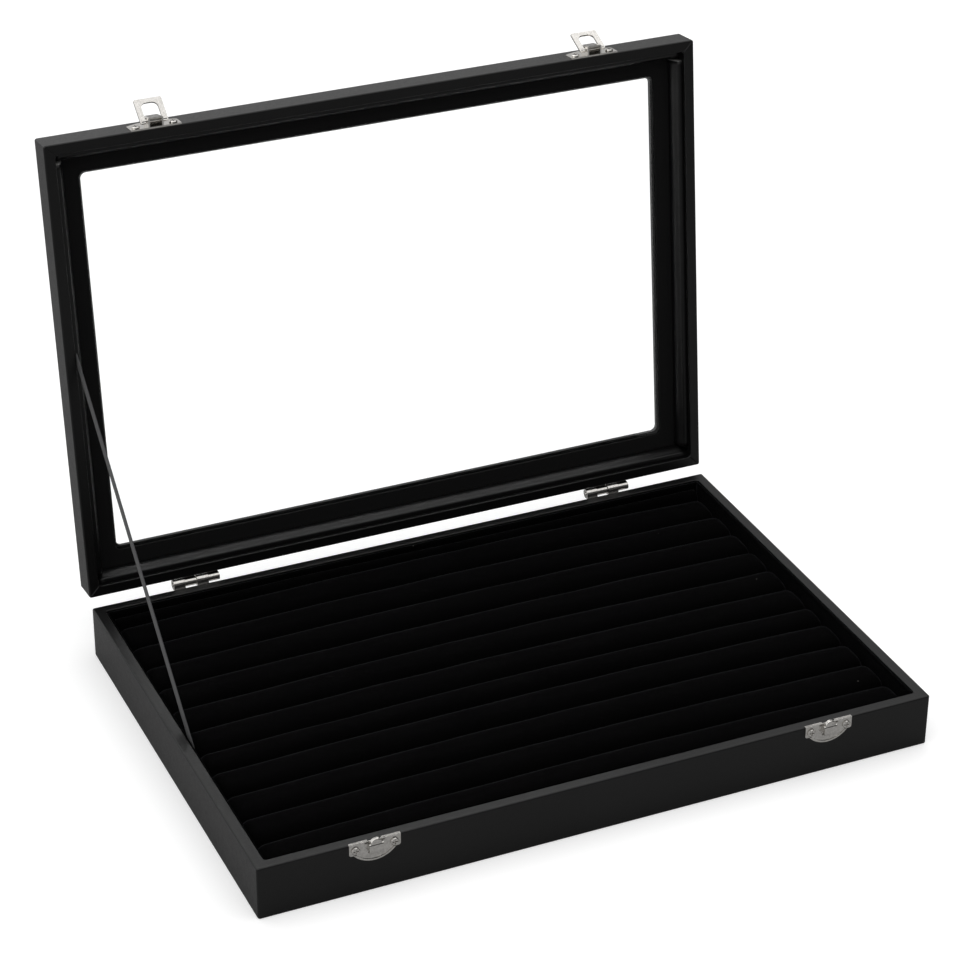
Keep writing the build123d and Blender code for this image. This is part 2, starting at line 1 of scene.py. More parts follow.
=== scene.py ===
# %% [markdown]
# # Ring display box
# A shallow black box: a tray of padded velvet ring rolls under a glazed lid, which stands open
# against a ribbon. The rigid solids come ready made as a frame. This lesson gives them their
# finishes, and makes what is soft: the rolls, the velvet linings and the ribbon.
#
# The frame is loaded first. Everything in it is in metres, and nothing in it is moved.

# %% Load the frame
import json
from math import cos, radians, sin, tau

import bpy
import numpy as np
from mathutils import Matrix


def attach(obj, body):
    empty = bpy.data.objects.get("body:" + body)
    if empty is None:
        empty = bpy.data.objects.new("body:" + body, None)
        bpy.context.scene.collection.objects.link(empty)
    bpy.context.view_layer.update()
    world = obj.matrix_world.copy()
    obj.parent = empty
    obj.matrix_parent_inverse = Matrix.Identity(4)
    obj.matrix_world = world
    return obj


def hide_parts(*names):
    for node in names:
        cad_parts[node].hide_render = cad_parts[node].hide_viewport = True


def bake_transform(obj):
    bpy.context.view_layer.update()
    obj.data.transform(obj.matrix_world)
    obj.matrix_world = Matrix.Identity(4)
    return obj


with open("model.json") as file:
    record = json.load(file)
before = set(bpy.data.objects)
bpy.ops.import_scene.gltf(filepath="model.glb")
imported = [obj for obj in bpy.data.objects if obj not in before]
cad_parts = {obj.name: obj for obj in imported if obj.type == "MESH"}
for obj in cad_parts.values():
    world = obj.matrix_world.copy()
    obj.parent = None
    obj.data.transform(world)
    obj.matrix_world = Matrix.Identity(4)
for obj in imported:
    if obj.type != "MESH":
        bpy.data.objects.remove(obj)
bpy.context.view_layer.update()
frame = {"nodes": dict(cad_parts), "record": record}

# %% [markdown]
# ## Measures
# The soft pieces are worked out in millimetres, in the measures of the shut box, because that is
# how such a box is cut and glued. A piece of the lid is then turned about the hinge line to
# where it stands in the open box.

# %% Measures of the shut box, in millimetres
MM = 0.001
width, depth, base_height = 350.0, 240.0, 28.0
wall, liner = 5.5, 1.4
lid_gap, lid_height = 0.6, 15.6
window_board, pane, window_card = 2.8, 2.0, 1.0
rim = base_height + lid_gap          # underside of the shut lid
lid_top = rim + lid_height
card_under = lid_top - window_board - pane - window_card
floor_of_rolls, top_of_rolls = 5.0, 26.0
skin_gap = 0.05                      # keeps two covered pieces from sharing a face

hinge = next(j for j in frame["record"]["behaviour"]["joints"] if j["name"] == "lid_hinge")
axis_point = np.array(hinge["pos_m"]) / MM
open_angle = radians(hinge["range_deg"][1])
along = np.array([0.0, cos(open_angle), -sin(open_angle)])
lid_up = np.array([0.0, sin(open_angle), cos(open_angle)])


def opened(shut):
    """Points of the shut lid, turned about the hinge line.

    A point keeps its x; its distances behind and above the hinge line are laid off along the
    lid's own two directions."""
    away = np.asarray(shut, dtype=float) - axis_point
    return axis_point + away[..., :1] * [1, 0, 0] + away[..., 1:2] * along + away[..., 2:] * lid_up


print("front edge of the open lid", opened([0, -depth / 2, rim]).round(1))

# %% [markdown]
# ## Skins
# Every soft piece here is a closed skin: a stack of closed outlines, joined point to point, with
# both ends closed. Worked out as one array, that is quicker and smoother than modelling by
# hand, and the sum of the signed volumes over its faces tells whether the faces look outwards.


# %% Helper: a closed skin over a stack of outlines
def skin(name, rings, turn=None):
    """Mesh object over `rings`, an array (rows, points, 3) in millimetres.

    Point j of row i is joined to point j + 1 of its row and to point j of the next row. The
    first and last outlines are closed by fans round their mean. `turn` places the points, and
    the two fans are the last faces of the mesh."""
    rows, count = rings.shape[:2]
    points = np.concatenate([rings.reshape(-1, 3), rings[[0, -1]].mean(axis=1)])
    if turn:
        points = turn(points)
    here = np.arange(rows * count).reshape(rows, count)
    after = np.roll(here, -1, axis=1)
    quads = np.stack([here[:-1], after[:-1], after[1:], here[1:]], axis=-1).reshape(-1, 4)
    start = np.stack([np.full(count, rows * count), after[0], here[0]], axis=-1)
    end = np.stack([np.full(count, rows * count + 1), here[-1], after[-1]], axis=-1)
    thirds = np.concatenate([quads[:, [0, 1, 2]], quads[:, [0, 2, 3]], start, end])
    a, b, c = (points[thirds[:, k]] for k in range(3))
    if np.einsum("ij,ij->i", a, np.cross(b, c)).sum() < 0:
        quads, start, end = quads[:, ::-1], start[:, ::-1], end[:, ::-1]
    mesh = bpy.data.meshes.new(name)
    mesh.from_pydata((points * MM).tolist(), [], quads.tolist() + start.tolist() + end.tolist())
    mesh.validate()
    mesh.shade_smooth()
    piece = bpy.data.objects.new(name, mesh)
    bpy.context.scene.collection.objects.link(piece)
    return piece


def spaced(outline, count):
    """`count` points at equal distances along a closed outline (points, 2)."""
    closed = np.concatenate([outline, outline[:1]])
    way = np.concatenate([[0], np.cumsum(np.linalg.norm(np.diff(closed, axis=0), axis=1))])
    at = np.linspace(0, way[-1], count, endpoint=False)
    return np.stack([np.interp(at, way, closed[:, k]) for k in range(2)], axis=1)


# %% [markdown]
# ## Building materials from nodes
# One helper adds a node, sets its fields and wires its inputs. All the patterns read Object
# coordinates, which are metres here, so a scale of 1000 puts one cell on each millimetre.


# %% Helpers: a material, and one node in it
def material(name):
    """New material, with its node tree, its surface shader and its Object coordinates."""
    made = bpy.data.materials.new(name)
    made.use_nodes = True
    tree = made.node_tree
    place = tree.nodes.new("ShaderNodeTexCoord").outputs["Object"]
    return made, tree, tree.nodes["Principled BSDF"], place


def add(tree, kind, inputs=None, **fields):
    """Adds a node. An input that is given another node's output is linked to it."""
    made = tree.nodes.new(kind)
    for field, value in fields.items():
        setattr(made, field, value)
    for socket, value in (inputs or {}).items():
        if isinstance(value, bpy.types.NodeSocket):
            tree.links.new(value, made.inputs[socket])
        else:
            made.inputs[socket].default_value = value
    return made


def ramp(tree, factor, *stops):
    """Colour ramp through (position, colour) stops."""
    made = add(tree, "ShaderNodeValToRGB", {"Fac": factor})
    steps = made.color_ramp.elements
    while len(steps) < len(stops):
        steps.new(0.5)
    for step, (position, colour) in zip(steps, stops):
        step.position = position
        step.color = (*colour, 1.0) if len(colour) == 3 else colour
    return made.outputs["Color"]


def spread(tree, value, low, high, new_low, new_high):
    """Maps a value's range onto another, and stops at both ends."""
    numbers = {"Value": value, "From Min": low, "From Max": high, "To Min": new_low, "To Max": new_high}
    return add(tree, "ShaderNodeMapRange", numbers).outputs["Result"]


def noise(tree, place, scale, detail=2.0, rough=0.5):
    """Fractal noise, `scale` cells to the metre."""
    return add(
        tree, "ShaderNodeTexNoise", {"Vector": place, "Scale": scale, "Detail": detail, "Roughness": rough}
    ).outputs["Fac"]


def bumps(tree, surface, height, distance, strength=1.0):
    """Bump of this depth in metres on the shader's normal."""
    made = add(tree, "ShaderNodeBump", {"Height": height, "Distance": distance, "Strength": strength})
    tree.links.new(made.outputs["Normal"], surface.inputs["Normal"])


# %% [markdown]
# ## Leatherette
# The boards are wrapped in black leatherette paper: a very dark film pressed with a fine pebble
# grain of about half a millimetre. Most of its colour is the room it reflects, so it is made
# nearly black, with a low index of refraction, and shows up at grazing angles and on edges.
# The grain is a smooth Voronoi pattern with a little noise, as bump and in the roughness.

# %% Leatherette
leatherette, tree, surface, place = material("leatherette")
pebbles = add(
    tree, "ShaderNodeTexVoronoi", {"Vector": place, "Scale": 1700.0, "Smoothness": 0.6}, feature="SMOOTH_F1"
).outputs["Distance"]
creases = noise(tree, place, 420.0, 3.0, 0.6)
cloudy = noise(tree, place, 14.0, 3.0)
grain = add(tree, "ShaderNodeMath", {0: pebbles, 1: creases}, operation="ADD").outputs["Value"]
film = ramp(tree, cloudy, (0.3, (0.0013, 0.0013, 0.0014)), (0.75, (0.0024, 0.0023, 0.0024)))
tree.links.new(film, surface.inputs["Base Color"])
tree.links.new(spread(tree, grain, 0.4, 1.3, 0.27, 0.40), surface.inputs["Roughness"])
surface.inputs["IOR"].default_value = 1.40
bumps(tree, surface, grain, 0.00005, 0.7)
print("leatherette:", len(tree.nodes), "nodes")

# %% [markdown]
# ## Velvet
# The rolls and linings are short-pile velvet, the darkest thing in the box. Pile hardly
# reflects towards the eye, but its tips catch light where the surface turns away, and that is
# what the sheen layer of the shader does. Brushed pile leans one way or the other in soft
# patches, so its colour and bump vary with a broad noise, and a few specks of lint lie on it.
# Lint is a Voronoi cell pattern of which only the middles of one cell in thirty are painted.

# %% Velvet
velvet, tree, surface, place = material("velvet")
pile = noise(tree, place, 5200.0, 2.0, 0.7)
lean = noise(tree, place, 46.0, 3.0, 0.55)
speck = add(tree, "ShaderNodeTexVoronoi", {"Vector": place, "Scale": 150.0})
middle = add(tree, "ShaderNodeMath", {0: speck.outputs["Distance"], 1: 0.035}, operation="LESS_THAN").outputs["Value"]
chosen = add(tree, "ShaderNodeSeparateColor", {"Color": speck.outputs["Color"]}).outputs["Red"]
chosen = add(tree, "ShaderNodeMath", {0: chosen, 1: 0.965}, operation="GREATER_THAN").outputs["Value"]
lint = add(tree, "ShaderNodeMath", {0: middle, 1: chosen}, operation="MULTIPLY").outputs["Value"]
colour = ramp(tree, lean, (0.35, (0.0003, 0.0003, 0.0003)), (0.70, (0.0008, 0.0008, 0.0009)))
colour = add(
    tree, "ShaderNodeMix", {"Factor": lint, "A": colour, "B": (0.16, 0.15, 0.14, 1.0)}, data_type="RGBA"
)
tree.links.new(colour.outputs["Result"], surface.inputs["Base Color"])
tree.links.new(spread(tree, lean, 0.3, 0.7, 0.86, 1.0), surface.inputs["Roughness"])
surface.inputs["Specular IOR Level"].default_value = 0.03
surface.inputs["Sheen Weight"].default_value = 0.05
surface.inputs["Sheen Roughness"].default_value = 0.22
surface.inputs["Sheen Tint"].default_value = (0.9, 0.9, 1.0, 1.0)
nap = add(tree, "ShaderNodeMath", {0: lean, 1: 3.0, 2: pile}, operation="MULTIPLY_ADD").outputs["Value"]
bumps(tree, surface, nap, 0.00016, 0.8)
print("velvet:", len(tree.nodes), "nodes")

# %% [markdown]
# ## Nickel
# Hinges, catches, hasps and loops are stamped from thin steel and nickel plated: bright and
# slightly warm, with shallow waves left by the press and dull patches where fingers have been.
# A metallic shader with noise in its roughness gives that; a fine bump breaks the reflections.

# %% Nickel
nickel, tree, surface, place = material("nickel")
waves = noise(tree, place, 130.0, 2.0)
touch = noise(tree, place, 900.0, 4.0, 0.65)
plating = ramp(tree, touch, (0.35, (0.52, 0.505, 0.48)), (0.65, (0.70, 0.68, 0.65)))
tree.links.new(plating, surface.inputs["Base Color"])
tree.links.new(spread(tree, touch, 0.35, 0.7, 0.10, 0.24), surface.inputs["Roughness"])
surface.inputs["Metallic"].default_value = 1.0
bumps(tree, surface, waves, 0.00006, 0.5)

# %% [markdown]
# ## Glass, ribbon, fibreboard and card
# The pane is clear glass. Light that has to pass it on its way to the rolls would be lost
# in the shader's refraction, so for shadow rays the glass is simply transparent. A trace of
# wiping marks lies in its roughness. The ribbon is a charcoal satin tape, woven in fine ribs
# across its length, which its own UV map carries. The tray under the rolls is bare fibreboard,
# the card round the window is flocked black, and the strips are cut from plain greyboard.

# %% Glass
glass, tree, surface, place = material("glass")
wiped = noise(tree, place, 22.0, 4.0, 0.6)
tree.links.new(spread(tree, wiped, 0.5, 0.8, 0.0, 0.03), surface.inputs["Roughness"])
surface.inputs["Base Color"].default_value = (0.985, 0.995, 0.99, 1.0)
surface.inputs["Transmission Weight"].default_value = 1.0
surface.inputs["IOR"].default_value = 1.45
rays = add(tree, "ShaderNodeLightPath")
clear = add(tree, "ShaderNodeBsdfTransparent", {"Color": (0.97, 0.98, 0.975, 1.0)})
shadow = rays.outputs["Is Shadow Ray"]
both = add(tree, "ShaderNodeMixShader", {0: shadow, 1: surface.outputs["BSDF"], 2: clear.outputs["BSDF"]})
tree.links.new(both.outputs["Shader"], tree.nodes["Material Output"].inputs["Surface"])

# %% Ribbon
satin, tree, surface, place = material("ribbon")
along_it = tree.nodes["Texture Coordinate"].outputs["UV"]
woven = {"Vector": along_it, "Scale": 430.0, "Distortion": 0.6, "Detail": 1.0}
ribs = add(tree, "ShaderNodeTexWave", woven, bands_direction="X").outputs["Fac"]
threads = noise(tree, place, 3800.0, 2.0)
weave = add(tree, "ShaderNodeMath", {0: ribs, 1: threads}, operation="ADD").outputs["Value"]
charcoal = ramp(tree, weave, (0.4, (0.014, 0.014, 0.0145)), (1.0, (0.042, 0.042, 0.044)))
tree.links.new(charcoal, surface.inputs["Base Color"])
tree.links.new(spread(tree, threads, 0.3, 0.7, 0.45, 0.7), surface.inputs["Roughness"])
surface.inputs["Sheen Weight"].default_value = 0.08
bumps(tree, surface, weave, 0.00006, 0.8)

# %% Fibreboard
fibreboard, tree, surface, place = material("fibreboard")
stretched = add(tree, "ShaderNodeMapping", {"Vector": place, "Scale": (1.0, 0.35, 1.0)}).outputs["Vector"]
fibres = noise(tree, stretched, 1500.0, 5.0, 0.7)
brown = ramp(tree, fibres, (0.3, (0.20, 0.14, 0.09)), (0.7, (0.38, 0.29, 0.20)))
tree.links.new(brown, surface.inputs["Base Color"])
tree.links.new(spread(tree, fibres, 0.3, 0.7, 0.75, 0.95), surface.inputs["Roughness"])
bumps(tree, surface, fibres, 0.0002)

# %% Flocked card, round the window
flock, tree, surface, place = material("flocked_card")
fuzz = noise(tree, place, 4200.0, 3.0, 0.7)
soot = ramp(tree, fuzz, (0.3, (0.0028, 0.0028, 0.0029)), (0.7, (0.0048, 0.0048, 0.0049)))
tree.links.new(soot, surface.inputs["Base Color"])
tree.links.new(spread(tree, fuzz, 0.3, 0.7, 0.85, 1.0), surface.inputs["Roughness"])
surface.inputs["Specular IOR Level"].default_value = 0.1
surface.inputs["Sheen Weight"].default_value = 0.04
bumps(tree, surface, fuzz, 0.00008)

# %% Grey card, at the cut ends of the lid's strips
greyboard, tree, surface, place = material("greyboard")
pulp = noise(tree, place, 2400.0, 4.0, 0.7)
grey = ramp(tree, pulp, (0.3, (0.16, 0.16, 0.155)), (0.7, (0.34, 0.34, 0.33)))
tree.links.new(grey, surface.inputs["Base Color"])
tree.links.new(spread(tree, pulp, 0.3, 0.7, 0.8, 0.95), surface.inputs["Roughness"])
bumps(tree, surface, pulp, 0.0001)

# %% [markdown]
# ## Finishes on the rigid pieces
# The frame's pieces keep their shapes. Each names the finish that it has in the record, so the
# new materials go onto their material slots by that name. The card round the window is flocked
# and not woven velvet, so it gets the lighter finish made for it.

# %% Dress the rigid pieces
finish = {
    "leatherette": leatherette, "velvet": velvet, "board": fibreboard,
    "glass": glass, "nickel": nickel, "ribbon": satin,
}
for part in frame["record"]["subparts"]:
    solid = frame["nodes"][part["node"]]
    if not solid.material_slots:
        solid.data.materials.append(None)
    for holder in solid.material_slots:
        holder.material = finish[part["material_slot"]]
frame["nodes"]["window_frame_card"].material_slots[0].material = flock


# %% Helper: hand a finished piece to its body
def settle(piece, body, finish_name, *stands_for):
    """The piece gets its finish, rides on a body and stands for the solids it replaces."""
    piece.data.materials.append(finish[finish_name])
    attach(piece, body)
    if stands_for:
        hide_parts(*stands_for)
    return piece


# %% [markdown]
# ## Ring rolls
# Each roll is a bar of foam rolled tightly in velvet and glued underneath; rings are pushed
# into the gap between two rolls. Foam under cloth is never straight: the crown sinks towards
# the ends, the ridge wanders by a few tenths of a millimetre, and the ends are tucked in round.
# A box with a bevel would look machined, so a roll is a superellipse carried along the tray.
# Its half width and height follow the length: full in the middle, drawn in at the ends.


# %% Cross-section and length of a roll
def bar_section(half, height, points, roundness=2.8, foot=0.07):
    """Outline of a padded bar, (points, 2), from y = -half to half and z = 0 to height.

    A superellipse |y / half|^n + |z / b|^n = 1 above and a squarer one below; the sides
    are then drawn in by `foot` towards the floor, more the lower they are."""
    turn = np.linspace(-np.pi / 2, 3 * np.pi / 2, 1600, endpoint=False)
    above = np.sin(turn) >= 0
    power = np.where(above, 2 / roundness, 2 / 9.0)
    y = half * np.sign(np.cos(turn)) * np.abs(np.cos(turn)) ** power
    z = np.sign(np.sin(turn)) * np.abs(np.sin(turn)) ** power
    z = height * np.where(above, 0.58 + 0.42 * z, 0.58 + 0.58 * z)
    y *= 1 - foot * (1 - z / height) ** 2
    return spaced(np.stack([y, z], axis=1), points)


def wander(at, seed, size, shortest=45.0):
    """Smooth waves along a length: five sines of random phase, longer ones higher."""
    chance = np.random.default_rng(seed)
    lengths = shortest * np.array([1.0, 1.6, 2.7, 4.3, 7.0])
    phases = chance.uniform(0, tau, 5)[:, None]
    heights = chance.uniform(0.5, 1.0, 5)[:, None] * (lengths / lengths[-1])[:, None] ** 0.5
    return size * (heights * np.sin(tau * at / lengths[:, None] + phases)).sum(axis=0) / 2.2


print("section", bar_section(10, 21, 8).round(1).tolist())


# %% A whole roll
end_gap = 1.6
roll_half = width / 2 - wall - liner - end_gap


def padded_bar(name, front, back, crown, fall, seed, wide=64, rows=170, tuck=5.0, sway=0.3):
    """Padded bar between two y positions, standing on the tray.

    With t the distance from the nearer end divided by `tuck`, the bar's width and the round of
    its crown grow as (1 - (1 - t)^2.4)^(1 / 2.4). Its crown sinks by `fall` times (x / half)^2."""
    middle, half = (front + back) / 2, (back - front) / 2
    even = np.linspace(-1, 1, rows)
    x = roll_half * np.sign(even) * (1 - (1 - np.abs(even)) ** 1.25)
    t = np.clip((roll_half - np.abs(x)) / tuck, 0, 1)
    full = (1 - (1 - t) ** 2.4) ** (1 / 2.4)
    outline = bar_section(1.0, 1.0, wide)
    top = crown - floor_of_rolls - fall * (x / roll_half) ** 2 - tuck * (1 - full)
    top = top + wander(x, seed, sway)
    broad = half * (0.84 + 0.16 * full) - 0.5 * sway * (1 + np.sin(tau * x / 61 + seed))
    across, upright = outline[None, :, 0], outline[None, :, 1]
    y = middle + across * broad[:, None] + (wander(x, seed + 50, sway) * full)[:, None] * upright
    z = floor_of_rolls + upright * top[:, None]
    ridge = np.broadcast_to(x[:, None], y.shape)
    return skin(name, np.stack([ridge, y, z], axis=-1))


# %% Lay eleven rolls, the fifth squeezed thinner
back_strip = 6.5
rolls_front, rolls_back = -depth / 2 + wall + liner, depth / 2 - wall - liner - back_strip
thin, thin_number = 16.9, 5
pitch = (rolls_back - rolls_front - thin) / 10
edge = rolls_front
for number in range(1, 12):
    share = thin if number == thin_number else pitch
    front, back = edge + skin_gap, edge + share - skin_gap
    roll = padded_bar(f"velvet_roll_{number:02d}", front, back, top_of_rolls, fall=2.8, seed=number)
    settle(roll, "base", "velvet", f"ring_roll_{number:02d}")
    edge += share
front, back = rolls_back + 0.1, rolls_back + back_strip - 0.1
filler = padded_bar("velvet_back_strip", front, back, 25.2, fall=0.6, seed=31, wide=40, rows=120, tuck=2.0)
settle(filler, "base", "velvet", "roll_back_strip")
print("rolls from y", rolls_front, "to", round(edge, 1))

# %% [markdown]
# ## Linings of the walls
# The inside of each wall is a strip of card under velvet, mitred at the corners. A strip is one
# cross-section carried along its side. Both ends are cut at 45 degrees by shortening each
# point's run by its own distance from the wall, which is how a mitre works.


# %% A mitred strip along one side
side_turns = {"front": 0, "right": 1, "back": 2, "left": 3}


def along_side(name, side, section, rows=90, turn=None, puff=None, square=None):
    """Strip along a side of the box. `section` is (points, 2): distance in from the inside of
    the wall, and height. Its run is half the side's length less that distance, so it is mitred.

    `puff` gives a swelling for each row. `square` cuts both ends square, this far from the
    corners."""
    quarter = side_turns[side]
    reach = (width if quarter % 2 == 0 else depth) / 2 - wall
    across = (depth if quarter % 2 == 0 else width) / 2 - wall
    inward, height = section[None, :, 0], section[None, :, 1]
    way = np.linspace(-1, 1, rows)[:, None]
    x = way * (reach - (inward if square is None else np.full_like(inward, square)))
    swell = 1.0 if puff is None else puff(x[:, :1])
    y = np.broadcast_to(-across + inward * swell, x.shape)
    z = np.broadcast_to(height, x.shape)
    for _ in range(quarter):
        x, y = -y, x
    return skin(name, np.stack([x, y, z], axis=-1), turn)


def card_section(thick, foot, top, points=44, roundness=2.6):
    """Card under velvet: straight on the wall's side, rounded over its upper edge."""
    turn = np.linspace(0, np.pi, 240)
    half = thick / 2
    arch_y = half + half * np.sign(np.cos(turn)) * np.abs(np.cos(turn)) ** (2 / roundness)
    arch_z = top - half + half * np.abs(np.sin(turn)) ** (2 / roundness)
    outline = np.concatenate([[[thick, foot]], np.stack([arch_y, arch_z], axis=1), [[0.0, foot]]])
    return spaced(outline, points)


bottom_board, liner_top = 3.0, 27.2
for number, side in enumerate(side_turns):
    lining = along_side(
        f"velvet_liner_{side}", side, card_section(liner, bottom_board, liner_top),
        puff=lambda x, seed=number: 1 + wander(x[:, 0], 70 + seed, 0.05)[:, None],
    )
    settle(lining, "base", "velvet", f"base_{side}_liner")
print("linings", len(side_turns))

# %% [markdown]
# ## Strips that hold the glass
# Inside the lid, a strip on each side presses the card and the pane against the frame of the
# window. It is card wrapped in leatherette, narrow at the rim and swelling towards the glass,
# which gives its face a long soft light. The front and back strips run from wall to wall;
# the side strips are cut square between them, and their cut ends show the bare grey card.


# %% Retaining strips of the lid
def strip_section(top, under, narrow, broad, points=44, belly=0.6):
    """A wedge from `narrow` at the rim to `broad` at the card, with a rounded nose.

    The face is a straight taper plus a belly of sin(pi s), s running from rim to card."""
    s = np.linspace(0, 1, 60)
    radius = 1.0
    nose = np.linspace(0, np.pi / 2, 24)
    face_y = narrow + (broad - narrow) * s + belly * np.sin(np.pi * s)
    face_z = top + radius + (under - top - radius) * s
    nose_y = narrow - radius + radius * np.sin(nose)
    nose_z = top + radius - radius * np.cos(nose)
    y = np.concatenate([[0.0], nose_y, face_y[1:], [0.0]])
    z = np.concatenate([[top], nose_z, face_z[1:], [under]])
    return spaced(np.stack([y, z], axis=1), points)


strip_sunk, strip_nose, strip_foot = 2.6, 2.8, 5.0
corner_gap, end_clear = 0.7, 0.6
hair = 0.02                          # inside the solid by a hair
profile = strip_section(rim + strip_sunk, card_under - hair, strip_nose, strip_foot - hair)
for side in side_turns:
    square = corner_gap if side in ("front", "back") else strip_foot + end_clear
    strip = along_side(f"lid_moulding_{side}", side, profile, turn=opened, square=square)
    settle(strip, "lid", "leatherette", f"lid_{side}_strip")
    strip.data.materials.append(greyboard)
    kinds = np.zeros(len(strip.data.polygons), dtype=int)
    kinds[-2 * len(profile):] = 1    # the two end fans
    strip.data.polygons.foreach_set("material_index", kinds)
print("strips", len(side_turns))

# %% [markdown]
# ## Ribbon stay
# A narrow satin ribbon keeps the lid from falling back. It is glued behind the lining of the
# base and behind the strip of the lid, and the lid's weight pulls it straight. Its route
# is a smooth spline through a few points, and the flat tape is carried along the points read
# from that spline, with its faces to the left and right, as the glued ends hold it.

# %% Route of the ribbon
tape_width, tape_thick = 6.0, 0.5
tuck_in_base, tuck_in_lid = 8.0, 2.6
leaves_base = np.array([-167.8, -9.1, 28.0])
leaves_lid = opened([-169.2 + tape_thick / 2, axis_point[1] - 132.0, rim])
tape = leaves_lid - leaves_base
direction = tape / np.linalg.norm(tape)
marks = [
    leaves_base - tuck_in_base * direction,
    leaves_base,
    leaves_base + tape * 0.33,
    leaves_base + tape * 0.66,
    leaves_lid,
    leaves_lid + tuck_in_lid * direction,
]
route = bpy.data.curves.new("ribbon_route", "CURVE")
route.dimensions = "3D"
line = route.splines.new("NURBS")
line.points.add(len(marks) - 1)
for point, mark in zip(line.points, marks):
    point.co = (*(mark * MM), 1.0)
line.order_u = 3
line.use_endpoint_u = True
line.resolution_u = 12
carrier = bpy.data.objects.new("ribbon_route", route)
bpy.context.scene.collection.objects.link(carrier)
bpy.context.view_layer.update()
read = bpy.data.meshes.new_from_object(carrier)
path = np.array([v.co[:] for v in read.vertices]) / MM
bpy.data.objects.remove(carrier)


# %% Flat tape along the route
def flat_tape(name, path, broad, thick, points=20):
    """Tape carried along a path. Its width lies square to the path in the upright plane of the
    path, its thickness across that plane, and its outline is a squarish superellipse.

    UV: u is the way along, v the place across, in metres."""
    forward = np.gradient(path, axis=0)
    forward /= np.linalg.norm(forward, axis=1, keepdims=True)
    side = np.cross(forward, [1.0, 0.0, 0.0])
    side /= np.linalg.norm(side, axis=1, keepdims=True)
    face = np.cross(side, forward)
    round_about = np.linspace(0, tau, points, endpoint=False)
    a = broad / 2 * np.sign(np.cos(round_about)) * np.abs(np.cos(round_about)) ** 0.5
    b = thick / 2 * np.sign(np.sin(round_about)) * np.abs(np.sin(round_about)) ** 0.5
    rings = path[:, None] + a[None, :, None] * side[:, None] + b[None, :, None] * face[:, None]
    made = skin(name, rings)
    way = np.concatenate([[0], np.cumsum(np.linalg.norm(np.diff(path, axis=0), axis=1))])
    u = np.concatenate([np.repeat(way, points), way[[0, -1]]]) * MM
    v = np.concatenate([np.tile(a, len(path)), [0, 0]]) * MM
    corners = np.zeros(len(made.data.loops), dtype=int)
    made.data.loops.foreach_get("vertex_index", corners)
    uv = made.data.uv_layers.new(name="tape")
    uv.data.foreach_set("uv", np.stack([u[corners], v[corners]], axis=1).ravel())
    return made


ribbon = flat_tape("satin_ribbon", path, tape_width, tape_thick)
ribbon.data.materials.append(satin)
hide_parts("ribbon_stay")
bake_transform(ribbon)

# %% [markdown]
# ## Mitre folds
# Where the covering of two rails meets on the lid's rim, one sheet is folded over the other at
# 45 degrees. The fold is only a raised hair line, but the eye looks for it in the corners.


# %% Raised folds on the lid's rim
def fold(name, corner, height=0.2, half=0.3, turn=None):
    """Ridge from the outer to the inner corner of a rim, with the cross-section
    h (1 + cos(pi t)) / 2 for t from -1 to 1, which runs out to nothing at both ends.

    Its underside lies 0.2 mm inside the board, so that only the ridge is seen."""
    way = np.linspace(0, 1, 26)[:, None]
    t = np.concatenate([np.linspace(-1, 1, 9), np.linspace(1, -1, 9)[1:-1]])[None, :]
    upper = (np.arange(t.size) < 9)[None, :]
    lift = height * (1 + np.cos(np.pi * t)) / 2 * np.minimum(1, 8 * way * (1 - way) + 0.05)
    outer = np.array([corner[0] * (width / 2 - 0.7), corner[1] * (depth / 2 - 0.7)])
    inner = np.array([corner[0] * (width / 2 - wall - 0.5), corner[1] * (depth / 2 - wall - 0.5)])
    square = np.array([-corner[1], corner[0]]) / np.sqrt(2)
    x = outer[0] + (inner[0] - outer[0]) * way + square[0] * half * t
    y = outer[1] + (inner[1] - outer[1]) * way + square[1] * half * t
    z = rim - np.where(upper, lift, -0.2)
    return skin(name, np.stack([x, y, z + 0 * x], axis=-1), turn)


corners = {"front_left": (-1, -1), "front_right": (1, -1), "back_right": (1, 1), "back_left": (-1, 1)}
for name, corner in corners.items():
    settle(fold(f"rim_fold_{name}", corner, turn=opened), "lid", "leatherette")
print("folds", len(corners))

# %% [markdown]
# ## Camera
# The camera stands where the photograph was taken from: its place and its lens were worked out
# from the corners of the box. A camera looks along its own -Z, so the matrix is built from
# the picture's right, up and backward directions.

# %% Camera
eye = bpy.data.cameras.new("camera")
eye.lens, eye.sensor_width = 114.14, 36.0
eye.clip_start, eye.clip_end = 0.05, 50.0
camera = bpy.data.objects.new("camera", eye)
right = np.array([0.91321, -0.40745, 0.00573])
down = np.array([-0.19737, -0.45457, -0.86857])
forward = np.array([0.35650, 0.79205, -0.49554])
place_of_eye = [-0.53431, -1.15890, 0.85413]
stand = np.eye(4)
stand[:3, 0], stand[:3, 1], stand[:3, 2], stand[:3, 3] = right, -down, -forward, place_of_eye
camera.matrix_world = Matrix(stand.tolist())
bpy.context.scene.collection.objects.link(camera)
bpy.context.scene.camera = camera
bpy.context.scene.view_settings.view_transform = "Standard"
print("camera lens", eye.lens, "mm")
